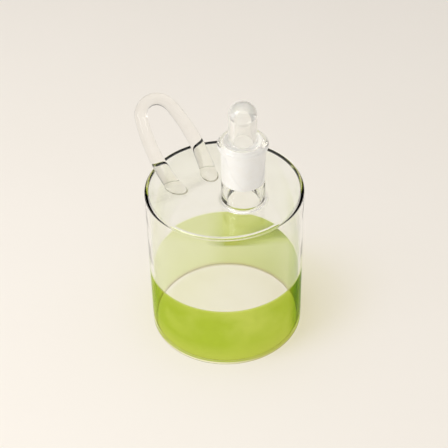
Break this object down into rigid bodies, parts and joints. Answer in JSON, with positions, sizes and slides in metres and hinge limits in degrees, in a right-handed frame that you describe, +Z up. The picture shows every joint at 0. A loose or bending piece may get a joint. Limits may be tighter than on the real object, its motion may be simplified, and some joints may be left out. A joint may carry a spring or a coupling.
{
  "type": "oil cruet",
  "caption": "Round glass oil cruet with a flat deck, an off-centre ground neck and stopper, a rod loop handle leaning out over the rim, and oil inside.",
  "frame": {"origin": "centre of the flat face the vessel stands on, on the vessel's axis", "axes": "+Z up along the vessel's axis, +X to the right of the side that the neck stands nearer to, -Y towards that side; the handle leans out towards -X +Y"},
  "size_m": [0.0857, 0.08, 0.1435],
  "materials": {
    "clear_glass": "clear, gloss, ground inside the neck",
    "handle_glass": "clear, gloss",
    "stopper_glass": "clear knob, ground plug",
    "oil": "clear green oil, gloss"
  },
  "bodies": {
    "root": {"vessel": "clear_glass", "handle": "handle_glass", "stopper": "stopper_glass", "oil": "oil"}
  },
  "joints": []
}
